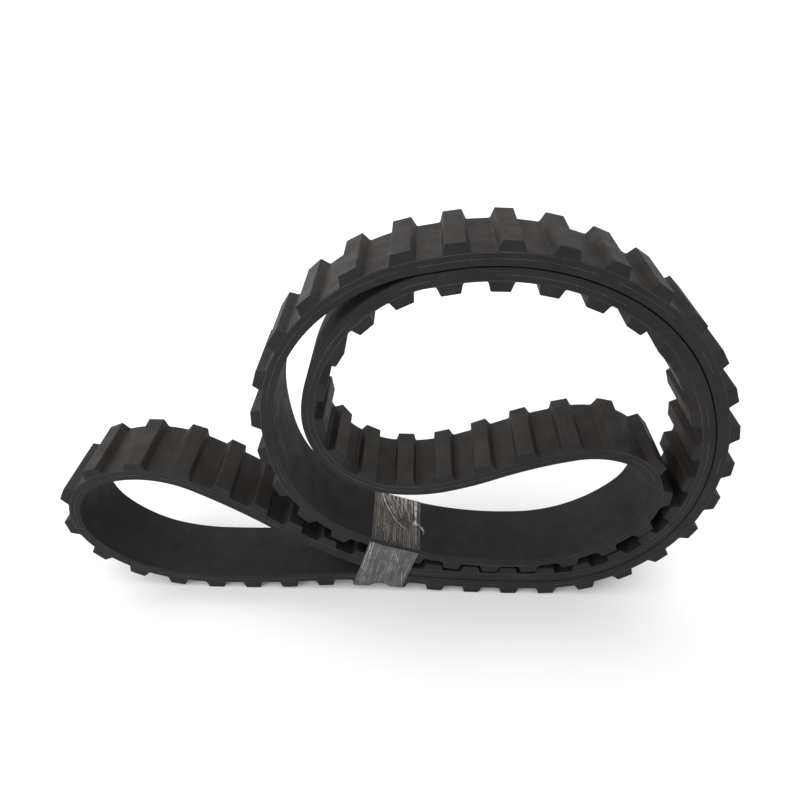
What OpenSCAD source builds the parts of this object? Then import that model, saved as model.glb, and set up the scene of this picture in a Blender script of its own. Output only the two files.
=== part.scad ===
// Endless toothed rubber track, folded flat, rolled up once and held by a wrap of strapping tape.
//
// The belt is one closed loop. It is drawn in the X-Z plane and is as wide as belt_w along Y.
// Its route is a chain of arcs in travel order: the outer wrap, the left loop, the inner wrap
// and the inner fold. The lugs point outwards, which is to the left of the direction of travel.
// Depth is measured from the smooth side of the belt. +Z is up and the bundle stands on Z = 0.

/* [Belt] */
// Width of the belt
belt_w = 73; // [50:1:120]
// Distance between lug centres along the neutral line, in the straight belt
pitch = 40; // [40:0.1:41]
// Thickness of the band between the lugs
band_t = 11.2; // [10.6:0.1:11.2]
// Depth of the line that keeps its length when the belt bends
neutral_d = 7.3; // [7.2:0.1:7.4]

/* [Lugs] */
// Number of lugs round the endless belt
lug_count = 90; // [90:1:90]
// Height of a lug above the band
lug_h = 8.3; // [6:0.1:8.3]
// Length of the flat land on top of a lug
lug_land = 15.5; // [10:0.5:15.5]
// Length of a lug at its root
lug_root = 21; // [18:0.5:21]

/* [Plies] */
// Thickness of the running cover on the smooth side
cover_t = 3.6; // [2.5:0.1:4]
// Thickness of the ply that holds the wound cords
cord_t = 2.4; // [1.6:0.1:3]
// Thickness of the fabric ply at the root of the lugs
breaker_t = 0.6; // [0.4:0.1:1]

/* [Strapping tape] */
// Width of the tape
tape_w = 50; // [40:1:52]
// Thickness of the clear film
film_t = 0.15; // [0.1:0.05:0.3]
// Thickness of a glass strand under the film
strand_t = 0.25; // [0.15:0.05:0.4]
// Number of strands across the tape
strand_count = 24; // [12:1:30]
// How far the tape leans to the left on its way down the two edges of the belt
tape_lean = 20; // [0:1:22]

/* [Hidden] */

// Space between the smooth sides where two strands lie back to back.
back_gap = 1;
// Heading at the pinch under the tape, in degrees, which levels the lugs that carry the bundle.
pinch_heading = -6.4;
// Place of the first lug after the start of the outer wrap, in pitches.
first_lug = -0.4;

// Each bend is [length in tenths of a pitch, turn in degrees], and a turn to the left is positive.
// The line between the outer and the inner wrap, from the pinch to where they part at the top:
// the strand under the tape, the round lower right side, the right side and the round top.
doubled = [[36, 9], [6, 9], [40, 67], [23, 28], [15, 15], [25, 30], [39, 40], [3, -2]];
// The left loop: out along the floor, round its left end and back along its sloping top.
left_loop = [
    [24, 13], [30, -8], [12, -15], [18, -35], [29, -109], [23, -49], [20, -8], [25, 10], [15, 21]
];
// From where the wraps part: down the inner left side, right along the sagging strand, round the
// inner fold, back left under it through the tape and up the outer left side.
inner_run = [
    [3, 12], [38, 62], [32, 91], [13, 22], [11, 8], [19, -11], [12, -31],
    [29, -113], [29, -45], [46, -31], [30, -53], [10, -8], [34, -51.5], [24, -32]
];
// The two arcs of each run whose lengths are adjusted so that the run closes on its ends.
left_loop_free = [1, 7];
inner_run_free = [3, 11];

// Lug numbers at which one stretch ends and the next begins, half way between two lugs.
outer_from = -12.5;
loop_from = 23.5;
inner_from = 35.5;
fold_from = 66.5;
fold_to = 77.5;
// Slits at the ends of the two loops. The belt bends there: the wide slit closes and the narrow
// one opens.
wide_slit = 5;
fine_slit = 0.3;

rubber = [0.16, 0.165, 0.175];
lug_rubber = [0.2, 0.195, 0.19];
cord_rubber = [0.3, 0.3, 0.3];
fabric = [0.55, 0.4, 0.25];
film = [0.85, 0.86, 0.84, 0.5];
glass = [0.95, 0.94, 0.88];

// Arc geometry. A pose is [[x, z], heading].

function chord(turn) = abs(turn) < 0.001 ? 1 : sin(turn / 2) / (turn / 2 * PI / 180);
function move(arc, heading) =
    arc[0] * chord(arc[1]) * [cos(heading + arc[1] / 2), sin(heading + arc[1] / 2)];
function poses(arcs, pose, i = 0) =
    i == len(arcs) ? [pose]
    : concat([pose], poses(arcs, [pose[0] + move(arcs[i], pose[1]), pose[1] + arcs[i][1]], i + 1));
function last(list) = list[len(list) - 1];
function sum_to(arcs, part, n) = n == 0 ? 0 : arcs[n - 1][part] + sum_to(arcs, part, n - 1);
function reversed(list) = [for (i = [len(list) - 1:-1:0]) list[i]];
function side_step(pose, d) = pose[0] + d * [-sin(pose[1]), cos(pose[1])];

// Tenths of a pitch to millimetres, with the last turn set so that the whole run turns by -180 degrees.
function in_mm(arcs) = [
    for (i = [0:len(arcs) - 1])
        [arcs[i][0] * pitch / 10, i < len(arcs) - 1 ? arcs[i][1] : -180 - sum_to(arcs, 1, i)]
];

// The run with its two free lengths solved so that it ends at the target.
function closed(arcs, start, target, free) =
    let (
        fixed = [for (i = [0:len(arcs) - 1]) [i == free[0] || i == free[1] ? 0 : arcs[i][0], arcs[i][1]]],
        left = target - last(poses(fixed, start))[0],
        u = move([1, arcs[free[0]][1]], start[1] + sum_to(arcs, 1, free[0])),
        v = move([1, arcs[free[1]][1]], start[1] + sum_to(arcs, 1, free[1])),
        a = cross(left, v) / cross(u, v),
        b = cross(u, left) / cross(u, v)
    )
    [for (i = [0:len(arcs) - 1])
        [i == free[0] ? a : i == free[1] ? b : arcs[i][0], arcs[i][1]]];

// The route of the neutral line, once round the belt.

half_gap = neutral_d + back_gap / 2;
pinch = [[0, 0], pinch_heading];
doubled_mm = [for (arc = doubled) [arc[0] * pitch / 10, arc[1]]];
parting = last(poses(doubled_mm, pinch));
outer_arcs = [for (arc = reversed(doubled_mm)) [arc[0] + half_gap * arc[1] * PI / 180, -arc[1]]];
inner_arcs = [for (arc = doubled_mm) [arc[0] - half_gap * arc[1] * PI / 180, arc[1]]];
loop_arcs = closed(in_mm(left_loop), [side_step(pinch, -half_gap), pinch_heading + 180],
    side_step(pinch, half_gap), left_loop_free);
run_arcs = closed(in_mm(inner_run), [side_step(parting, half_gap), parting[1]],
    side_step(parting, -half_gap), inner_run_free);
route = concat(outer_arcs, loop_arcs, inner_arcs, run_arcs);
route_poses = poses(route, [side_step(parting, -half_gap), parting[1] + 180]);
route_s = [for (i = [0:len(route)]) sum_to(route, 0, i)];
spacing = last(route_s) / lug_count;

function arc_at(s, i = 0) = i == len(route) - 1 || s < route_s[i + 1] ? i : arc_at(s, i + 1);
// Pose of the neutral line at a distance along the route.
function pose_at(s) =
    let (
        m = s - last(route_s) * floor(s / last(route_s)),
        i = arc_at(m),
        part = [m - route_s[i], route[i][1] * (m - route_s[i]) / route[i][0]]
    )
    [route_poses[i][0] + move(part, route_poses[i][1]), route_poses[i][1] + part[1]];
// Pose at a place given in lug numbers, with an extra distance in millimetres.
function lug_pose(n, extra = 0) = pose_at(first_lug * pitch + n * spacing + extra);
function at_depth(pose, d) = side_step(pose, d - neutral_d);

// Outlines.

// Places where the band bends: both feet and the middle of each lug, and half way to the next.
function bends(from, to, slit_from, slit_to) = concat(
    [[from, slit_from]],
    [for (n = [ceil(from):floor(to)], e = [-lug_root / 2, 0, lug_root / 2]) [n, e]],
    [for (n = [ceil(from):floor(to) - 1]) [n + 0.5, 0]],
    [[to, -slit_to]]
);
function place_of(bend) = bend[0] * spacing + bend[1];
function in_order(list) =
    len(list) < 2 ? list
    : let (
        mid = list[floor(len(list) / 2)],
        before = [for (q = list) if (place_of(q) < place_of(mid)) q],
        after = [for (q = list) if (place_of(q) > place_of(mid)) q]
    )
    concat(in_order(before), [mid], in_order(after));
function ply_outline(line, d0, d1) = concat(
    [for (pose = line) at_depth(pose, d0)],
    [for (pose = reversed(line)) at_depth(pose, d1)]
);
function line_of(from, to, slit_from, slit_to) =
    [for (q = in_order(bends(from, to, slit_from, slit_to))) lug_pose(q[0], q[1])];
function lug_outline(n) = concat(
    [for (e = [-lug_root / 2, 0, lug_root / 2]) at_depth(lug_pose(n, e), band_t)],
    lug_tip(n)
);
function lug_tip(n) =
    let (pose = lug_pose(n))
    [for (e = [lug_land / 2, -lug_land / 2])
        at_depth(pose, band_t + lug_h) + e * [cos(pose[1]), sin(pose[1])]];

outer_line = line_of(outer_from, loop_from, 0, 0);
loop_line = line_of(loop_from, inner_from, fine_slit, wide_slit);
inner_line = line_of(inner_from, fold_from, 0, 0);
fold_line = line_of(fold_from, fold_to, wide_slit, fine_slit);

// The bundle is centred over the origin and its lowest lugs touch Z = 0.
tips = [for (n = [0:lug_count - 1]) each lug_tip(n)];
tip_x = [for (p = tips) p.x];
tip_z = [for (p = tips) p.y];
centre = [(min(tip_x) + max(tip_x)) / 2, min(tip_z)];

// Depths of the plies, from the smooth side out.
cord_d = cover_t;
core_d = cord_d + cord_t;
breaker_d = band_t - breaker_t;

module across(w) {
    rotate([90, 0, 0]) linear_extrude(w, center = true) translate(-centre) children();
}
module ply(line, d0, d1) {
    across(belt_w) polygon(ply_outline(line, d0, d1));
}
module running_cover(line) {
    color(rubber) ply(line, 0, cord_d);
}
module cord_ply(line) {
    color(cord_rubber) ply(line, cord_d, core_d);
}
module core_rubber(line) {
    color(rubber) ply(line, core_d, breaker_d);
}
module breaker_fabric(line) {
    color(fabric) ply(line, breaker_d, band_t);
}
module lugs(from, to) {
    color(lug_rubber)
        for (n = [ceil(from):floor(to)])
            across(belt_w) polygon(lug_outline(n));
}

// Strapping tape. It crosses the smooth side of the top strand, goes down both edges of the belt
// and crosses the lugs underneath.

// Centre of the tape on the top strand, a little left of the pinch.
tape_x = -12;
// Lugs that lie under the top of the tape, and lugs that the tape crosses underneath.
tape_top_lugs = [77, 82];
tape_low_lugs = [18, 23];
tape_top = [
    for (n = [tape_top_lugs[0]:tape_top_lugs[1]], e = [-lug_root / 2, 0, lug_root / 2, spacing / 2])
        at_depth(lug_pose(n, e), 0)
];
tape_low = [for (n = [tape_low_lugs[0]:tape_low_lugs[1]]) each reversed(lug_tip(n))];
tape_h = lookup(tape_x, tape_top) - lookup(tape_x - tape_lean, tape_low);
// The leaning tape is longer where it crosses the lugs.
tape_low_w = tape_w * norm([tape_h, tape_lean]) / tape_h;

// Part of a line from one X to another, moved up by rise.
function part_of(line, x0, x1, rise) = [
    for (p = concat(
        [[x1, lookup(x1, line)]],
        [for (q = line) if (q.x > x0 && q.x < x1) q],
        [[x0, lookup(x0, line)]]
    )) p + [0, rise]
];
// One band of the tape, from u0 to u1 across its width, between two heights off the belt.
module wrap(u0, u1, low, high) {
    top_x = [tape_x + u0 * tape_w, tape_x + u1 * tape_w];
    low_x = [tape_x - tape_lean + u0 * tape_low_w, tape_x - tape_lean + u1 * tape_low_w];
    top_line = part_of(tape_top, top_x[0], top_x[1], 0);
    low_line = part_of(tape_low, low_x[0], low_x[1], 0);
    up = [0, 1];
    across(belt_w + 2 * low)
        polygon(concat([for (p = top_line) p + up * low], reversed([for (p = top_line) p + up * high])));
    across(belt_w + 2 * low)
        polygon(concat([for (p = low_line) p - up * low], reversed([for (p = low_line) p - up * high])));
    for (side = [-1, 1])
        translate([0, side * (belt_w + low + high) / 2, 0])
            across(high - low)
                polygon(concat([for (p = top_line) p + up * high],
                    reversed([for (p = low_line) p - up * high])));
}
module tape_film() {
    color(film) wrap(-0.5, 0.5, strand_t, strand_t + film_t);
}
module tape_strands() {
    strand_half = 0.25 / strand_count;
    color(glass)
        for (i = [0:strand_count - 1]) {
            u = (i + 0.5) / strand_count - 0.5;
            wrap(u - strand_half, u + strand_half, 0, strand_t);
        }
}

module outer_wrap_running_cover() { running_cover(outer_line); }
module outer_wrap_cord_ply() { cord_ply(outer_line); }
module outer_wrap_core_rubber() { core_rubber(outer_line); }
module outer_wrap_breaker_fabric() { breaker_fabric(outer_line); }
module outer_wrap_lugs() { lugs(outer_from, loop_from); }
module inner_wrap_running_cover() { running_cover(inner_line); }
module inner_wrap_cord_ply() { cord_ply(inner_line); }
module inner_wrap_core_rubber() { core_rubber(inner_line); }
module inner_wrap_breaker_fabric() { breaker_fabric(inner_line); }
module inner_wrap_lugs() { lugs(inner_from, fold_from); }
module left_loop_running_cover() { running_cover(loop_line); }
module left_loop_cord_ply() { cord_ply(loop_line); }
module left_loop_core_rubber() { core_rubber(loop_line); }
module left_loop_breaker_fabric() { breaker_fabric(loop_line); }
module left_loop_lugs() { lugs(loop_from, inner_from); }
module inner_fold_running_cover() { running_cover(fold_line); }
module inner_fold_cord_ply() { cord_ply(fold_line); }
module inner_fold_core_rubber() { core_rubber(fold_line); }
module inner_fold_breaker_fabric() { breaker_fabric(fold_line); }
module inner_fold_lugs() { lugs(fold_from, fold_to); }

outer_wrap_running_cover();
outer_wrap_cord_ply();
outer_wrap_core_rubber();
outer_wrap_breaker_fabric();
outer_wrap_lugs();
inner_wrap_running_cover();
inner_wrap_cord_ply();
inner_wrap_core_rubber();
inner_wrap_breaker_fabric();
inner_wrap_lugs();
left_loop_running_cover();
left_loop_cord_ply();
left_loop_core_rubber();
left_loop_breaker_fabric();
left_loop_lugs();
inner_fold_running_cover();
inner_fold_cord_ply();
inner_fold_core_rubber();
inner_fold_breaker_fabric();
inner_fold_lugs();
tape_film();
tape_strands();
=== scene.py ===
"""Looks of the rolled-up rubber track: smooth belt pieces, strapping tape, studio and camera."""
import math
import random

import bpy
import numpy as np
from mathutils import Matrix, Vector


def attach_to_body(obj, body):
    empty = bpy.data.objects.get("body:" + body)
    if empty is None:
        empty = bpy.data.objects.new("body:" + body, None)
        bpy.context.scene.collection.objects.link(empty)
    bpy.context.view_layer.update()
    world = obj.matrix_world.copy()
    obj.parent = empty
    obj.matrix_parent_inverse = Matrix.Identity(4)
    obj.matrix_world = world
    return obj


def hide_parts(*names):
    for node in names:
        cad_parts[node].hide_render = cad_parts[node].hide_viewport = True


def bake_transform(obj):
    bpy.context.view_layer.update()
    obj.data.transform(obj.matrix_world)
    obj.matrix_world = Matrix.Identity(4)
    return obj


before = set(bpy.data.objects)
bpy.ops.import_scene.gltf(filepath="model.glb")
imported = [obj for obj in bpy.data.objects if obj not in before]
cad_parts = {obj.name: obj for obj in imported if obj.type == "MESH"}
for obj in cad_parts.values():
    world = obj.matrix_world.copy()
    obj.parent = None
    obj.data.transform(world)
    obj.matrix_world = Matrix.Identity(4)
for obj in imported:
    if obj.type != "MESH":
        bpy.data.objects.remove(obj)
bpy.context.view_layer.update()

MM = 0.001

# ---------------------------------------------------------------- the belt, as the CAD has it, in mm
BELT_W = 73.0
PITCH = 40.0
LUG_COUNT = 90
BAND_T = 11.2
NEUTRAL_D = 7.3
LUG_H = 8.3
LUG_LAND = 15.5
LUG_ROOT = 21.0
COVER_T = 3.6
CORD_T = 2.4
BACK_GAP = 1.0
PINCH_HEADING = -6.4
FIRST_LUG = -0.4
# Bends of the route in travel order: length in tenths of a pitch, turn in degrees.
DOUBLED = [(36, 9), (6, 9), (40, 67), (23, 28), (15, 15), (25, 30), (39, 40), (3, -2)]
LEFT_LOOP = [
    (24, 13), (30, -8), (12, -15), (18, -35), (29, -109), (23, -49), (20, -8), (25, 10), (15, 21),
]
INNER_RUN = [
    (3, 12), (38, 62), (32, 91), (13, 22), (11, 8), (19, -11), (12, -31),
    (29, -113), (29, -45), (46, -31), (30, -53), (10, -8), (34, -51.5), (24, -32),
]
LEFT_LOOP_FREE = (1, 7)
INNER_RUN_FREE = (3, 11)
TAPE_X = -12.0
TAPE_W = 50.0
TAPE_LEAN = 20.0

# Stretches as they are drawn: first and last lug number, half way between two lugs, and for a free
# loop its body and the two places between which it turns from following the tied roll to that body.
STRETCHES = {
    "outer_wrap": (-11.5, 20.5, None),
    "left_loop": (20.5, 38.5, ("left_loop", (-0.075, 0, 0.05), (-0.165, 0, 0.05))),
    "inner_wrap": (38.5, 65.5, None),
    "inner_fold": (65.5, 78.5, ("inner_fold", (0.060, 0, 0.1), (0.128, 0, 0.1))),
}


# ---------------------------------------------------------------- route
def move(length, turn, heading):
    chord = length * np.sinc(turn / 2 / np.pi)
    return np.array([chord * math.cos(heading + turn / 2), chord * math.sin(heading + turn / 2)])


def lay(arcs, point, heading):
    """The pose at the start of each arc and after the last."""
    poses = [(np.array(point, float), heading)]
    for length, turn in arcs:
        point, heading = poses[-1]
        poses.append((point + move(length, turn, heading), heading + turn))
    return poses


def side_step(point, heading, d):
    return np.array(point) + d * np.array([-math.sin(heading), math.cos(heading)])


def closed(arcs, start, heading, target, free):
    """The run in mm and radians, with its last turn and two free lengths set so that it closes."""
    arcs = [[length * PITCH / 10, math.radians(turn)] for length, turn in arcs]
    arcs[-1][1] = -math.pi - sum(turn for _, turn in arcs[:-1])
    for i in free:
        arcs[i][0] = 0.0
    left = np.array(target) - lay(arcs, start, heading)[-1][0]
    turned = [heading + sum(t for _, t in arcs[:i]) for i in free]
    units = np.stack([move(1.0, arcs[i][1], h) for i, h in zip(free, turned)], axis=1)
    for i, length in zip(free, np.linalg.solve(units, left)):
        arcs[i][0] = length
    return arcs


class Route:
    """The neutral line of the belt, centred over the origin with the lowest lugs on the floor."""

    def __init__(self):
        half = NEUTRAL_D + BACK_GAP / 2
        h0 = math.radians(PINCH_HEADING)
        run = [(length * PITCH / 10, math.radians(turn)) for length, turn in DOUBLED]
        end, he = lay(run, (0, 0), h0)[-1]
        outer = [(length + half * turn, -turn) for length, turn in reversed(run)]
        inner = [(length - half * turn, turn) for length, turn in run]
        loop = closed(LEFT_LOOP, side_step((0, 0), h0, -half), h0 + math.pi,
                      side_step((0, 0), h0, half), LEFT_LOOP_FREE)
        back = closed(INNER_RUN, side_step(end, he, half), he, side_step(end, he, -half), INNER_RUN_FREE)
        self.arcs = outer + [tuple(a) for a in loop] + inner + [tuple(a) for a in back]
        self.poses = lay(self.arcs, side_step(end, he, -half), he + math.pi)
        self.sums = np.concatenate([[0.0], np.cumsum([a[0] for a in self.arcs])])
        self.spacing = self.sums[-1] / LUG_COUNT
        self.shift = np.zeros(2)
        tips = np.array([self.at(n, BAND_T + LUG_H, e, True) for n in range(LUG_COUNT)
                         for e in (-LUG_LAND / 2, LUG_LAND / 2)])
        self.shift = -np.array([(tips[:, 0].min() + tips[:, 0].max()) / 2, tips[:, 1].min()])

    def pose(self, s):
        s = s % self.sums[-1]
        i = min(int(np.searchsorted(self.sums, s, side="right")) - 1, len(self.arcs) - 1)
        length, turn = self.arcs[i]
        part = s - self.sums[i]
        point, heading = self.poses[i]
        return point + move(part, turn * part / length, heading), heading + turn * part / length

    def at(self, n, depth, extra=0.0, straight=False):
        """[x, z] at a lug number, a depth from the smooth side and a distance along the belt.
        A straight one is measured along the tangent at the lug's middle."""
        s = FIRST_LUG * PITCH + n * self.spacing
        if straight:
            point, heading = self.pose(s)
            point = point + extra * np.array([math.cos(heading), math.sin(heading)])
        else:
            point, heading = self.pose(s + extra)
        return side_step(point, heading, depth - NEUTRAL_D) + self.shift


route = Route()


# ---------------------------------------------------------------- materials
def nodes_of(mat):
    mat.use_nodes = True
    tree = mat.node_tree
    tree.nodes.clear()
    out = tree.nodes.new("ShaderNodeOutputMaterial")
    bsdf = tree.nodes.new("ShaderNodeBsdfPrincipled")
    tree.links.new(bsdf.outputs[0], out.inputs["Surface"])
    return tree, bsdf


def noise(tree, coords, scale, detail=4.0, rough=0.55, stretch=(1, 1, 1)):
    mapping = tree.nodes.new("ShaderNodeMapping")
    mapping.inputs["Scale"].default_value = stretch
    tree.links.new(coords, mapping.inputs["Vector"])
    n = tree.nodes.new("ShaderNodeTexNoise")
    n.inputs["Scale"].default_value = scale
    n.inputs["Detail"].default_value = detail
    n.inputs["Roughness"].default_value = rough
    tree.links.new(mapping.outputs[0], n.inputs["Vector"])
    return n.outputs["Fac"]


def ramp(tree, fac, stops):
    r = tree.nodes.new("ShaderNodeValToRGB")
    r.color_ramp.elements[0].position = stops[0][0]
    r.color_ramp.elements[0].color = stops[0][1]
    r.color_ramp.elements[1].position = stops[-1][0]
    r.color_ramp.elements[1].color = stops[-1][1]
    for pos, col in stops[1:-1]:
        r.color_ramp.elements.new(pos).color = col
    tree.links.new(fac, r.inputs["Fac"])
    return r.outputs["Color"]


def grey(v):
    return (v, v, v, 1)


def mix(tree, fac, a, b):
    m = tree.nodes.new("ShaderNodeMix")
    m.data_type = "RGBA"
    for value, socket in ((fac, m.inputs[0]), (a, m.inputs[6]), (b, m.inputs[7])):
        if isinstance(value, bpy.types.NodeSocket):
            tree.links.new(value, socket)
        else:
            socket.default_value = value
    return m.outputs[2]


def math_node(tree, op, a, b):
    m = tree.nodes.new("ShaderNodeMath")
    m.operation = op
    for value, socket in ((a, m.inputs[0]), (b, m.inputs[1])):
        if isinstance(value, bpy.types.NodeSocket):
            tree.links.new(value, socket)
        else:
            socket.default_value = value
    return m.outputs[0]


def bump(tree, bsdf, heights):
    """Chains bumps given as (height, distance in m, strength)."""
    normal = None
    for height, distance, strength in heights:
        b = tree.nodes.new("ShaderNodeBump")
        b.inputs["Distance"].default_value = distance
        b.inputs["Strength"].default_value = strength
        tree.links.new(height, b.inputs["Height"])
        if normal is not None:
            tree.links.new(normal, b.inputs["Normal"])
        normal = b.outputs[0]
    tree.links.new(normal, bsdf.inputs["Normal"])


def rubber(name, dark, light, rough, specular, grain, streak):
    """Black rubber: fine grain, cloudy bloom, faint flow lines and a little dust. streak stretches
    the flow lines along each axis."""
    mat = bpy.data.materials.new(name)
    tree, bsdf = nodes_of(mat)
    tex = tree.nodes.new("ShaderNodeTexCoord")
    obj = tex.outputs["Object"]
    cloud = noise(tree, obj, 22, 5, 0.6)
    fine = noise(tree, obj, 900, 3, 0.6)
    lines = noise(tree, obj, 260, 4, 0.6, streak)
    colour = mix(tree, ramp(tree, cloud, [(0.32, grey(0)), (0.72, grey(1))]), (*dark, 1), (*light, 1))
    dust = math_node(tree, "MULTIPLY", ramp(tree, lines, [(0.52, grey(0)), (0.78, grey(1))]), 0.25)
    colour = mix(tree, dust, colour, (light[0] * 1.9, light[1] * 1.85, light[2] * 1.75, 1))
    tree.links.new(colour, bsdf.inputs["Base Color"])
    roughness = ramp(tree, noise(tree, obj, 60, 4), [(0.3, grey(rough - 0.08)), (0.7, grey(rough + 0.08))])
    tree.links.new(roughness, bsdf.inputs["Roughness"])
    bsdf.inputs["Specular IOR Level"].default_value = specular
    bump(tree, bsdf, [(fine, 0.0002, grain), (lines, 0.0004, 0.35), (cloud, 0.002, 0.12)])
    return mat


def fabric_line(name):
    """Cut edge of the breaker ply: tan yarn that shows here and there through the black."""
    mat = bpy.data.materials.new(name)
    tree, bsdf = nodes_of(mat)
    obj = tree.nodes.new("ShaderNodeTexCoord").outputs["Object"]
    shows = ramp(tree, noise(tree, obj, 16, 3), [(0.5, grey(0)), (0.66, grey(1))])
    yarn = ramp(tree, noise(tree, obj, 500, 2), [(0.4, grey(0.25)), (0.6, grey(1))])
    fac = math_node(tree, "MULTIPLY", shows, yarn)
    colour = mix(tree, fac, (0.014, 0.013, 0.013, 1), (0.075, 0.05, 0.034, 1))
    tree.links.new(colour, bsdf.inputs["Base Color"])
    bsdf.inputs["Roughness"].default_value = 0.8
    bump(tree, bsdf, [(yarn, 0.0003, 0.6)])
    return mat


def yarn_material(name, base, rough, shows_scale):
    """Pale cord or glass fibre, broken up along its length."""
    mat = bpy.data.materials.new(name)
    tree, bsdf = nodes_of(mat)
    obj = tree.nodes.new("ShaderNodeTexCoord").outputs["Object"]
    tone = ramp(tree, noise(tree, obj, shows_scale, 3), [(0.36, grey(0.25)), (0.56, grey(1))])
    colour = mix(tree, tone, (0.03, 0.03, 0.032, 1), (*base, 1))
    tree.links.new(colour, bsdf.inputs["Base Color"])
    bsdf.inputs["Roughness"].default_value = rough
    bump(tree, bsdf, [(noise(tree, obj, 1500, 2), 0.0001, 0.5)])
    return mat


ACROSS_LINES = (1, 0.12, 1)
MOULDED = rubber("moulded_rubber", (0.0142, 0.0121, 0.0108), (0.022, 0.0189, 0.0169),
                 rough=0.64, specular=0.17, grain=0.6, streak=ACROSS_LINES)
SMOOTH = rubber("smooth_cover_rubber", (0.0138, 0.0133, 0.0134), (0.0198, 0.0191, 0.0192),
                rough=0.66, specular=0.1, grain=0.35, streak=(0.5, 0.2, 0.5))
CUT = rubber("cut_edge_rubber", (0.012, 0.0111, 0.0128), (0.0172, 0.016, 0.0182),
             rough=0.7, specular=0.16, grain=0.6, streak=(0.5, 1, 0.5))
# Pale rubber for the ridge at each lug's foot: its light colour is painted highlight of the root fillet.
PAINTED_RIDGE_HIGHLIGHT = rubber("ridge_painted_highlight_rubber", (0.022, 0.0205, 0.0195), (0.06, 0.056, 0.052),
               rough=0.5, specular=0.4, grain=0.4, streak=ACROSS_LINES)
FABRIC = fabric_line("breaker_edge")
CORD = yarn_material("cut_cord", (0.17, 0.165, 0.155), 0.75, 45)


# ---------------------------------------------------------------- mesh helpers
def make_mesh(name, verts, faces, mats, face_mats, uvs=None):
    """An object from points in mm. uvs holds one (along, across) pair a point, in m."""
    mesh = bpy.data.meshes.new(name)
    mesh.from_pydata([tuple(c * MM for c in v) for v in verts], [], faces)
    for m in mats:
        mesh.materials.append(m)
    mesh.polygons.foreach_set("material_index", face_mats)
    mesh.polygons.foreach_set("use_smooth", [True] * len(faces))
    if uvs is not None:
        layer = mesh.uv_layers.new(name="along_across")
        loops = np.zeros(len(mesh.loops), int)
        mesh.loops.foreach_get("vertex_index", loops)
        layer.data.foreach_set("uv", np.array(uvs, float)[loops].ravel())
    mesh.set_sharp_from_angle(angle=math.radians(38))
    mesh.validate()
    obj = bpy.data.objects.new(name, mesh)
    bpy.context.scene.collection.objects.link(obj)
    return obj


def strip(name, outer, inner, along, rows, mats, bevel=0.0):
    """A closed strip across the belt. outer and inner are matching lists of [x, z]. rows are the
    places across the belt. With a bevel, the outer side is drawn in at both cut edges.
    Material 0 is the outer side, 1 the cut edges, and 0 the rest."""
    outer = np.array(outer)
    inner = np.array(inner)
    count = len(outer)
    tangent = np.gradient(outer, axis=0)
    normal = np.stack([-tangent[:, 1], tangent[:, 0]], axis=1)
    normal /= np.linalg.norm(normal, axis=1)[:, None]
    away = np.sign(((outer - inner) * normal).sum(axis=1))
    away[away == 0] = 1
    drawn_in = outer - normal * away[:, None] * bevel
    flip = np.median(away) < 0
    verts, uvs = [], []
    for k, y in enumerate(rows):
        edge = bevel > 0 and k in (0, len(rows) - 1)
        for i, p in enumerate(drawn_in if edge else outer):
            verts.append((p[0], y, p[1]))
            uvs.append((along[i] * MM, y * MM))
    low = len(verts)
    for y in (rows[0], rows[-1]):
        for i, p in enumerate(inner):
            verts.append((p[0], y, p[1]))
            uvs.append((along[i] * MM, y * MM))
    faces, face_mats = [], []

    def add(face, mat):
        faces.append(tuple(reversed(face)) if flip else face)
        face_mats.append(mat)

    last = len(rows) - 1
    for i in range(count - 1):
        for k in range(last):
            add((k * count + i, k * count + i + 1, (k + 1) * count + i + 1, (k + 1) * count + i), 0)
        add((low + i, low + count + i, low + count + i + 1, low + i + 1), 0)
        add((i, low + i, low + i + 1, i + 1), 1)
        add((last * count + i, last * count + i + 1, low + count + i + 1, low + count + i), 1)
    for i in (0, count - 1):
        cap = [k * count + i for k in range(last + 1)] + [low + count + i, low + i]
        add(tuple(cap if i == 0 else reversed(cap)), 0)
    return make_mesh(name, verts, faces, mats, face_mats, uvs)


def rounded(corners, radii, steps):
    """A line through corners, with each turn replaced by an arc of that radius."""
    line = []
    for i, (corner, radius) in enumerate(zip(corners, radii)):
        c = np.array(corner, float)
        if radius == 0:
            line.append(c)
            continue
        a = np.array(corners[i - 1], float) - c
        b = np.array(corners[i + 1], float) - c
        a /= np.linalg.norm(a)
        b /= np.linalg.norm(b)
        half = math.acos(float(np.clip(a @ b, -1, 1))) / 2
        reach = radius / math.tan(half)
        centre = c + (a + b) / np.linalg.norm(a + b) * radius / math.sin(half)
        start, end = c + a * reach - centre, c + b * reach - centre
        for t in np.linspace(0, 1, steps + 1):
            v = start * (1 - t) + end * t
            line.append(centre + v / np.linalg.norm(v) * radius)
    return line


def filled(line, step):
    """The same line with extra points wherever two are further apart than step."""
    out = [line[0]]
    for a, b in zip(line, line[1:]):
        n = max(1, int(math.ceil(np.linalg.norm(b - a) / step)))
        out += [a + (b - a) * k / n for k in range(1, n + 1)]
    return out


ROOT_R, TIP_R, EDGE = 1.8, 0.9, 0.35
half_pitch = route.spacing / 2
PROFILE = filled(rounded(
    [(-half_pitch, BAND_T), (-LUG_ROOT / 2, BAND_T), (-LUG_LAND / 2, BAND_T + LUG_H),
     (LUG_LAND / 2, BAND_T + LUG_H), (LUG_ROOT / 2, BAND_T), (half_pitch, BAND_T)],
    [0, ROOT_R, TIP_R, TIP_R, ROOT_R, 0], 4), 3.2)
ROWS = [-BELT_W / 2, -BELT_W / 2 + EDGE, -BELT_W / 4, 0, BELT_W / 4, BELT_W / 2 - EDGE, BELT_W / 2]
SKIN_D = BAND_T - 0.3
FABRIC_EDGE_T = 0.5
PLY_STEP = 2.6


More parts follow.
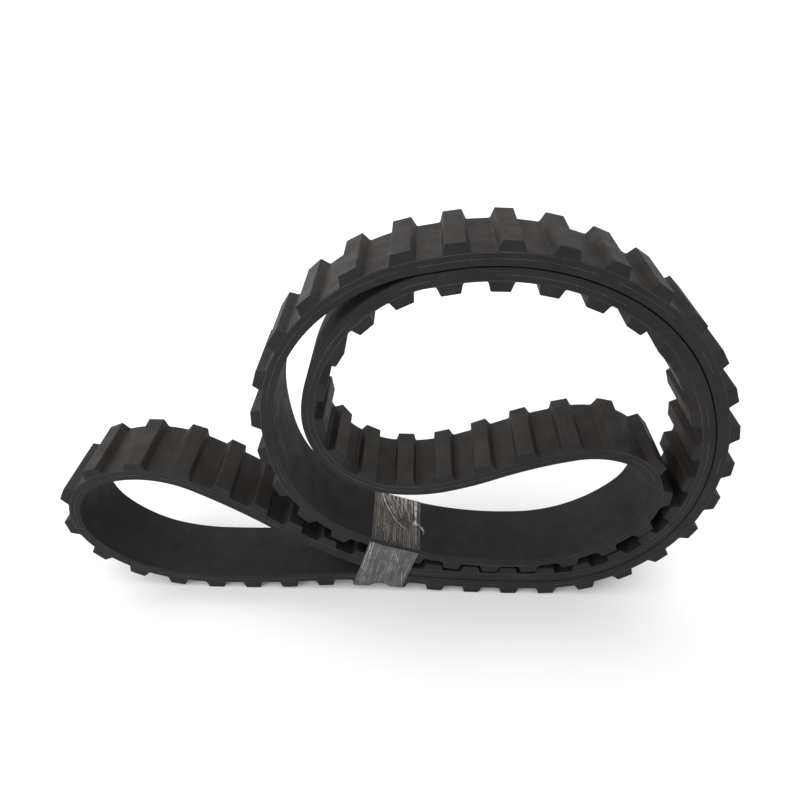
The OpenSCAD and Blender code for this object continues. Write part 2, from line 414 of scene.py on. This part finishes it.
def on_lug(n, e, depth):
    """A point of the lug strip: it follows the bent band at the root and is straight at the tip."""
    rise = min(max((depth - BAND_T) / LUG_H, 0), 1) ** 0.5
    return route.at(n, depth, e) * (1 - rise) + route.at(n, depth, e, True) * rise


def lug_strip(name, first, last):
    outer, inner, along = [], [], []
    for n in range(math.ceil(first), math.floor(last) + 1):
        for k, (e, depth) in enumerate(PROFILE):
            if k == 0 and outer:
                continue
            outer.append(on_lug(n, e, depth))
            inner.append(route.at(n, SKIN_D, e))
            along.append(n * route.spacing + e)
    return strip(name, outer, inner, along, ROWS, [MOULDED, CUT], EDGE)


def ply_strip(name, first, last, outer_d, inner_d, rows, mats, bevel=0.0):
    count = int(round((last - first) * route.spacing / PLY_STEP)) + 1
    places = np.linspace(first, last, count)
    return strip(name, [route.at(n, outer_d) for n in places], [route.at(n, inner_d) for n in places],
                 places * route.spacing, rows, mats, bevel)


def cut_cords(name, first, last, depth, rng, height, share):
    """Ends of the wound cord where the knife has sliced it, in dotted runs just proud of the edge."""
    verts, faces = [], []
    sunk, proud = BELT_W / 2 - 0.3, BELT_W / 2 + 0.1

    def add_end(place, length, side, middle):
        start = len(verts)
        for at in (place / route.spacing, (place + length) / route.spacing):
            for d in (middle - height / 2, middle + height / 2):
                x, z = route.at(at, d)
                verts.extend([(x, side * sunk, z), (x, side * proud, z)])
        for i, j in ((0, 1), (1, 3), (3, 2), (2, 0)):
            faces.append((start + i, start + 4 + i, start + 4 + j, start + j))
        faces.append((start, start + 1, start + 3, start + 2))
        faces.append((start + 4, start + 6, start + 7, start + 5))

    place, end = first * route.spacing + 2, last * route.spacing - 4
    while place < end:
        run_end = min(place + rng.uniform(14, 60), end)
        shown = rng.random() < share
        while place < run_end:
            length = rng.uniform(0.7, 1.2)
            if shown:
                for side in (-1, 1):
                    add_end(place, length, side, depth + rng.uniform(-0.05, 0.05))
            place += length + rng.uniform(1.2, 1.6)
    obj = make_mesh(name, verts, faces, [CORD], [0] * len(faces))
    for p in obj.data.polygons:
        p.use_smooth = False
    return obj


def tube_points(points, radius, sides):
    """Rings of points round a line, with tapered ends."""
    pts = [Vector(p) for p in points]
    verts, faces = [], []
    for i, p in enumerate(pts):
        d = (pts[min(i + 1, len(pts) - 1)] - pts[max(i - 1, 0)]).normalized()
        a = d.cross(Vector((0.3, 0.5, 0.8))).normalized()
        b = d.cross(a)
        r = radius * (0.5 if i in (0, len(pts) - 1) else 1)
        for k in range(sides):
            t = 2 * math.pi * k / sides
            verts.append(tuple(p + (a * math.cos(t) + b * math.sin(t)) * r))
        if i:
            for k in range(sides):
                m = (k + 1) % sides
                base = (i - 1) * sides
                faces.append((base + k, base + m, base + sides + m, base + sides + k))
    faces.append(tuple(range(sides)))
    faces.append(tuple(reversed(range((len(pts) - 1) * sides, len(pts) * sides))))
    return verts, faces


def tubes(name, lines, mat, sides=5):
    verts, faces = [], []
    for points, radius in lines:
        v, f = tube_points(points, radius, sides)
        faces += [tuple(i + len(verts) for i in face) for face in f]
        verts += v
    return make_mesh(name, verts, faces, [mat], [0] * len(faces))


def lug_foot_ridges(name, first, last):
    """A thin raised ridge along one foot of each lug, in pale rubber that is painted highlight of the lug's
    root fillet.
    """
    foot, half = -LUG_ROOT / 2 - 0.5, BELT_W / 2 - 0.6
    lines = []
    for n in range(math.ceil(first), math.floor(last) + 1):
        x, z = route.at(n, BAND_T + 0.04, foot)
        lines.append(([(x, y, z) for y in np.linspace(-half, half, 7)], 0.16))
    return tubes(name, lines, PAINTED_RIDGE_HIGHLIGHT)


# ---------------------------------------------------------------- belt
# Rows of cut cord ends: depth from the smooth side, height in mm, and how much of the row shows.
CORD_ROWS = {"a": (5.7, 0.26, 0.62), "b": (9.4, 0.14, 0.12)}


def attach(obj, join):
    if join is None:
        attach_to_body(obj, "tied_roll")
    else:
        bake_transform(obj)


def build_stretch(name, first, last, join, rng):
    ends = [ROWS[0], ROWS[-1]]
    core_d = COVER_T + CORD_T
    fabric_d = SKIN_D - FABRIC_EDGE_T
    # Ply: depth of its outer and inner side, places across the belt, outer and edge material, bevel.
    plies = {
        "running_cover": (0, COVER_T, ROWS, [SMOOTH, CUT], EDGE),
        "cord_ply": (core_d, COVER_T, ends, [CUT, CUT], 0.0),
        "core_rubber": (fabric_d, core_d, ends, [CUT, CUT], 0.0),
        "breaker_fabric": (SKIN_D, fabric_d, ends, [FABRIC, FABRIC], 0.0),
    }
    parts = {part: ply_strip(f"{name}_{part}_piece", first, last, *ply) for part, ply in plies.items()}
    parts["lugs"] = lug_strip(name + "_lugs_piece", first, last)
    for part, obj in parts.items():
        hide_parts(name + "_" + part)
        attach(obj, join)
    for label, (depth, height, share) in CORD_ROWS.items():
        cords = cut_cords(f"{name}_cut_cords_{label}", first, last, depth, rng, height, share)
        attach(cords, join)
    # Ridges at the lug feet, coloured pale as painted highlight of the root fillets.
    ridge_piece = lug_foot_ridges(name + "_foot_ridge_highlights", first, last)
    attach(ridge_piece, join)


rng = random.Random(7)
for stretch, (first, last, join) in STRETCHES.items():
    build_stretch(stretch, first, last, join, rng)


# ---------------------------------------------------------------- tape
def tape_film_material():
    """Clear film over brown adhesive, in streaks that run the length of the tape."""
    mat = bpy.data.materials.new("tape_film_clear")
    tree, bsdf = nodes_of(mat)
    obj = tree.nodes.new("ShaderNodeTexCoord").outputs["Object"]
    streaks = noise(tree, obj, 260, 4, 0.6, (1, 0.06, 0.06))
    tone = ramp(tree, streaks, [(0.35, (0.016, 0.0125, 0.01, 1)), (0.6, (0.044, 0.035, 0.026, 1)),
                                (0.8, (0.115, 0.095, 0.073, 1))])
    tree.links.new(tone, bsdf.inputs["Base Color"])
    cover = ramp(tree, noise(tree, obj, 70, 4, 0.6, (1, 0.4, 0.4)), [(0.3, grey(0.55)), (0.65, grey(0.95))])
    tree.links.new(cover, bsdf.inputs["Alpha"])
    bsdf.inputs["Roughness"].default_value = 0.34
    bump(tree, bsdf, [(streaks, 0.0008, 0.5)])
    return mat


def tape_frost_material():
    """Film that is scuffed grey and creased."""
    mat = bpy.data.materials.new("tape_film_frosted")
    tree, bsdf = nodes_of(mat)
    obj = tree.nodes.new("ShaderNodeTexCoord").outputs["Object"]
    mottle = noise(tree, obj, 150, 6, 0.65)
    creases = noise(tree, obj, 330, 3, 0.6, (1, 0.3, 0.22))
    tone = ramp(tree, mottle, [(0.3, (0.042, 0.043, 0.046, 1)), (0.7, (0.105, 0.106, 0.108, 1))])
    light = ramp(tree, creases, [(0.6, grey(0)), (0.82, grey(0.7))])
    tree.links.new(mix(tree, light, tone, (0.27, 0.265, 0.25, 1)), bsdf.inputs["Base Color"])
    bsdf.inputs["Alpha"].default_value = 0.95
    bsdf.inputs["Roughness"].default_value = 0.48
    bsdf.inputs["Specular IOR Level"].default_value = 0.3
    bump(tree, bsdf, [(creases, 0.001, 0.6), (mottle, 0.0008, 0.4)])
    return mat


FILM = tape_film_material()
FROST = tape_frost_material()
GLASS = yarn_material("glass_yarn", (0.66, 0.63, 0.56), 0.45, 90)
TAN = yarn_material("stained_yarn", (0.19, 0.148, 0.108), 0.55, 200)

top_places = np.linspace(82, 77, 160)
TOP_LINE = np.array([route.at(n, 0) for n in top_places])
SAG = 5.5  # how far the tape is drawn up between two lugs
low_points = []
for n in range(23, 17, -1):
    a, b = (route.at(n, BAND_T + LUG_H, e, True) for e in (LUG_LAND / 2, -LUG_LAND / 2))
    low_points += [a, b]
    if n > 18:
        c = route.at(n - 1, BAND_T + LUG_H, LUG_LAND / 2, True)
        for t in np.linspace(0.1, 0.9, 9):
            low_points.append(b * (1 - t) + c * t + np.array([0, SAG * math.sin(math.pi * t)]))
LOW_LINE = np.array(low_points)


def top_z(x):
    """Height of the smooth side of the top strand."""
    return float(np.interp(x, TOP_LINE[:, 0], TOP_LINE[:, 1]))


def low_z(x):
    """Height of the tape's low run: it lies on the lug lands and is drawn up a little between them."""
    return float(np.interp(x, LOW_LINE[:, 0], LOW_LINE[:, 1]))


tape_centre = TAPE_X + route.shift[0]
tape_drop = top_z(tape_centre) - low_z(tape_centre - TAPE_LEAN)
TAPE_LOW_W = TAPE_W * math.hypot(tape_drop, TAPE_LEAN) / tape_drop


def tape_point(u, v, off):
    """A point of the tape: u from -0.5 to 0.5 across it, v from 0 to 4 round it, off its thickness.
    v runs over the top from back to front, down the front, under the lugs and up the back, and its
    whole part says which of these four runs the point is on."""
    x_top = tape_centre + u * TAPE_W
    x_low = tape_centre - TAPE_LEAN + u * TAPE_LOW_W
    side = BELT_W / 2 + off
    high, low = top_z(x_top) + off, low_z(x_low) - off
    if v <= 1:
        return (x_top, side * (1 - 2 * v), high)
    if v <= 2:
        t = v - 1
        return (x_top + (x_low - x_top) * t, -side, high + (low - high) * t)
    if v <= 3:
        return (x_low, side * (2 * (v - 2) - 1), low)
    t = v - 3
    return (x_low + (x_top - x_low) * t, side, low + (high - low) * t)


def tape_sheet(name, v0, v1, columns, rows, mat, off, ripple):
    verts, faces = [], []
    wave = random.Random(3)
    phases = [wave.uniform(0, 6.28) for _ in range(4)]
    for j in range(rows + 1):
        v = v0 + (v1 - v0) * j / rows
        for i in range(columns + 1):
            u = i / columns - 0.5
            inside = math.sin(math.pi * min(max(v - math.floor(v), 0), 1))
            lift = ripple * inside * (0.5 + 0.5 * math.sin(40 * u + phases[0] + 3 * v)
                                      * math.sin(17 * u + 9 * v + phases[1]))
            verts.append(tape_point(u, v, off + lift))
    across = columns + 1
    for j in range(rows):
        for i in range(columns):
            a = j * across + i
            faces.append((a, a + 1, a + across + 1, a + across))
    return make_mesh(name, verts, faces, [mat], [0] * len(faces))


def fibre(rng, points, jitter, radius, off, count=14):
    """A yarn through (u, v) points of the tape, smoothed, with a little wander. Gives its points
    and its radius in mm."""
    pts = np.array(points, float)
    at = np.linspace(0, len(pts) - 1, count)
    u = np.interp(at, range(len(pts)), pts[:, 0])
    v = np.interp(at, range(len(pts)), pts[:, 1])
    for _ in range(2):
        u[1:-1] = (u[:-2] + 2 * u[1:-1] + u[2:]) / 4
        v[1:-1] = (v[:-2] + 2 * v[1:-1] + v[2:]) / 4
    phase = rng.uniform(0, 6.28)
    line = []
    for k, (a, b) in enumerate(zip(u, v)):
        lift = off + 2 * jitter * abs(math.sin(phase + 1.7 * k))
        line.append(tape_point(a + jitter * math.sin(phase + 0.9 * k), b, lift))
    return line, radius


def lengthwise_yarns(rng, pale, tan):
    """Yarns along the tape on the top, most of them stained, and bright stubs at the far edge."""
    count = 52
    for i in range(count):
        u = (i + 0.5) / count - 0.5 + rng.uniform(-0.008, 0.008)
        start = rng.choice((-0.02, rng.uniform(0.05, 0.3), rng.uniform(0.4, 0.6)))
        end = rng.uniform(0.72, 1.05)
        line = [(u, start), (u + rng.uniform(-0.02, 0.02), end)]
        yarn = fibre(rng, line, 0.003, rng.uniform(0.06, 0.13), 0.46)
        (pale if rng.random() < 0.28 else tan).append(yarn)
    for _ in range(30):
        u = rng.uniform(-0.38, 0.48)
        tip = (u + rng.uniform(-0.01, 0.05), rng.uniform(0.08, 0.34))
        pale.append(fibre(rng, [(u, -0.015), tip], 0.003, rng.uniform(0.08, 0.14), 0.55, 8))


def frayed_bundle(rng, pale):
    """Torn yarns that lie slanting across the others."""
    bundle = [(-0.34, 0.03), (-0.26, 0.22), (-0.12, 0.42), (-0.03, 0.53), (0.1, 0.6), (0.2, 0.64)]
    for k in range(7):
        aside = rng.uniform(-0.014, 0.014)
        stop = rng.choice((4, 5, 6, 6))
        line = [(u + aside, v + aside * 0.5) for u, v in bundle[:stop]]
        pale.append(fibre(rng, line, 0.004, rng.uniform(0.18, 0.3), 0.6 + 0.12 * k, 20))
    for _ in range(8):
        u = rng.uniform(-0.3, 0.12)
        line = [(u, rng.uniform(0.02, 0.12)), (u + 0.1, 0.22), (u + rng.uniform(0.14, 0.24), 0.4)]
        pale.append(fibre(rng, line, 0.006, rng.uniform(0.12, 0.2), 0.65))


def fuzz(rng, tan):
    """Two patches of short curled fibres."""
    for _ in range(46):
        u, v = rng.uniform(0.0, 0.3), rng.uniform(0.44, 0.58)
        turn = rng.uniform(-0.7, 0.7)
        bend = (u + 0.05 * math.cos(turn), v + 0.05 * math.sin(turn))
        tip = (u + rng.uniform(0.02, 0.1), v + rng.uniform(-0.06, 0.06))
        line = [(u, v), bend, tip]
        tan.append(fibre(rng, line, 0.008, rng.uniform(0.09, 0.14), rng.uniform(0.6, 1.3), 9))
    for _ in range(26):
        u, v = rng.uniform(-0.3, -0.06), rng.uniform(0.56, 0.72)
        tip = (u + rng.uniform(0.02, 0.1), v - rng.uniform(0.02, 0.09))
        tan.append(fibre(rng, [(u, v), tip], 0.008, rng.uniform(0.08, 0.12), rng.uniform(0.6, 1.0), 8))


def knot(rng, pale):
    """A star of fibres near the right edge, its loose tail, and the yarns drawn together into it."""
    u0, v0, arms = 0.4, 0.5, 16
    for k in range(arms):
        angle = 2 * math.pi * k / arms + rng.uniform(-0.15, 0.15)
        reach = rng.uniform(0.04, 0.085)
        tip = (u0 + reach * math.cos(angle), v0 + 0.72 * reach * math.sin(angle))
        pale.append(fibre(rng, [(u0, v0), tip], 0.004, rng.uniform(0.2, 0.32), rng.uniform(0.7, 1.5), 7))
    for _ in range(12):
        tail = [(0.41, 0.5), (0.48, 0.53), (0.55, 0.57 + rng.uniform(-0.02, 0.05)),
                (0.58, 0.6 + rng.uniform(-0.04, 0.1))]
        line = tail[:rng.choice((3, 4))]
        pale.append(fibre(rng, line, 0.01, rng.uniform(0.12, 0.2), rng.uniform(0.6, 1.3), 12))
    for k in range(6):
        line = [(0.36 + 0.014 * k, 0.0), (0.38 + 0.008 * k, 0.3), (u0, v0)]
        pale.append(fibre(rng, line, 0.003, 0.17, 0.6))


def fine_fibres(rng, pale, tan):
    """Thin fibres in the scuffed film on the two sides and the low run, and a few bright ones."""
    for side, count in ((1, 90), (2, 24), (3, 40)):
        for _ in range(count):
            u, v = rng.uniform(-0.48, 0.44), rng.uniform(0.1, 0.8)
            lean = rng.choice((0.0, 0.0, 0.0, -0.08, 0.3)) * rng.uniform(0.4, 1)
            length = rng.uniform(0.08, 0.5)
            end = (min(u + lean * length, 0.48), side + min(v + length, 0.96))
            yarn = fibre(rng, [(u, side + v), end], 0.002, rng.uniform(0.06, 0.11), 0.44, 9)
            (pale if rng.random() < 0.35 else tan).append(yarn)
    for points in ([(-0.46, 1.1), (-0.47, 1.62)], [(0.34, 1.55), (0.47, 1.97)], [(0.02, 1.12), (0.28, 1.5)],
                   [(-0.42, 1.06), (-0.4, 1.3)]):
        pale.append(fibre(rng, points, 0.002, 0.2, 0.5))


def tape_yarns():
    """All yarns of the tape, as pale ones and stained ones."""
    rng = random.Random(11)
    pale, tan = [], []
    lengthwise_yarns(rng, pale, tan)
    frayed_bundle(rng, pale)
    fuzz(rng, tan)
    knot(rng, pale)
    fine_fibres(rng, pale, tan)
    return pale, tan


FRONT_FROM = 1.07  # the front patch starts a little below the belt's edge
film_top = tape_sheet("tape_film_top", 0, 1, 40, 24, FILM, 0.3, 0.1)
film_front = tape_sheet("tape_film_front", FRONT_FROM, 2, 60, 16, FROST, 0.28, 0.12)
film_low = tape_sheet("tape_film_low", 2, 3, 60, 16, FROST, 0.28, 0.05)
film_back = tape_sheet("tape_film_back", 3, 4, 60, 16, FROST, 0.28, 0.12)
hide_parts("tape_film")
pale_lines, tan_lines = tape_yarns()
yarns = tubes("tape_strands_piece", pale_lines, GLASS)
stained = tubes("tape_stained_strands", tan_lines, TAN)
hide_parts("tape_strands")

for piece in (film_top, film_front, film_low, film_back):
    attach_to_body(piece, "tied_roll")
for piece in (yarns, stained):
    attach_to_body(piece, "tied_roll")


# ---------------------------------------------------------------- studio and camera
def studio():
    floor_mat = bpy.data.materials.new("pale_floor")
    tree, bsdf = nodes_of(floor_mat)
    bsdf.inputs["Base Color"].default_value = (0.93, 0.93, 0.93, 1)
    bsdf.inputs["Roughness"].default_value = 0.9
    bsdf.inputs["Specular IOR Level"].default_value = 0.1
    mesh = bpy.data.meshes.new("floor")
    size = 14
    corners = [(-size, -size, 0), (size, -size, 0), (size, size, 0), (-size, size, 0)]
    mesh.from_pydata(corners, [], [(0, 1, 2, 3)])
    mesh.materials.append(floor_mat)
    floor = bpy.data.objects.new("floor", mesh)
    bpy.context.scene.collection.objects.link(floor)

    world = bpy.data.worlds.new("studio")
    bpy.context.scene.world = world
    world.use_nodes = True
    back = world.node_tree.nodes["Background"]
    back.inputs[0].default_value = (1, 1, 1, 1)
    back.inputs[1].default_value = 1.0

    sun = bpy.data.lights.new("soft_overhead", "SUN")
    sun.energy = 0.7
    sun.angle = math.radians(100)
    lamp = bpy.data.objects.new("soft_overhead", sun)
    lamp.rotation_euler = (math.radians(-14), math.radians(-8), 0)
    bpy.context.scene.collection.objects.link(lamp)

    def area(name, place, aim, size, watts, colour=(1, 1, 1)):
        light = bpy.data.lights.new(name, "AREA")
        light.shape = "RECTANGLE"
        light.size, light.size_y = size
        light.energy = watts
        light.color = colour
        obj = bpy.data.objects.new(name, light)
        obj.location = place
        obj.rotation_euler = (Vector(aim) - Vector(place)).to_track_quat("-Z", "Y").to_euler()
        bpy.context.scene.collection.objects.link(obj)

    area("back_left", (-1.5, 1.9, 1.1), (0.1, 0, 0.2), (1.0, 1.2), 11, (1, 0.98, 0.95))
    area("front_left", (-1.5, -1.2, 0.8), (-0.25, 0, 0.08), (1.2, 1.0), 15, (1, 0.99, 0.98))


def camera():
    """The camera stands a little right of the middle, in front and above, looking down."""
    cam = bpy.data.cameras.new("camera")
    cam.sensor_width = 36
    cam.lens = 29.2
    cam.shift_x = -0.0066
    cam.shift_y = 0.0617
    cam.clip_start = 0.01
    cam.clip_end = 100
    obj = bpy.data.objects.new("camera", cam)
    bpy.context.scene.collection.objects.link(obj)
    azimuth, elevation, roll = (math.radians(a) for a in (-0.78, 38.28, 0.65))
    forward = Vector((math.sin(azimuth) * math.cos(elevation), math.cos(azimuth) * math.cos(elevation),
                      -math.sin(elevation)))
    obj.rotation_euler = forward.to_track_quat("-Z", "Y").to_euler()
    obj.rotation_euler.rotate_axis("Z", roll)
    obj.location = (0.0276, -0.4983, 0.5621)
    bpy.context.scene.camera = obj


studio()
camera()
bpy.context.scene.view_settings.view_transform = "Standard"
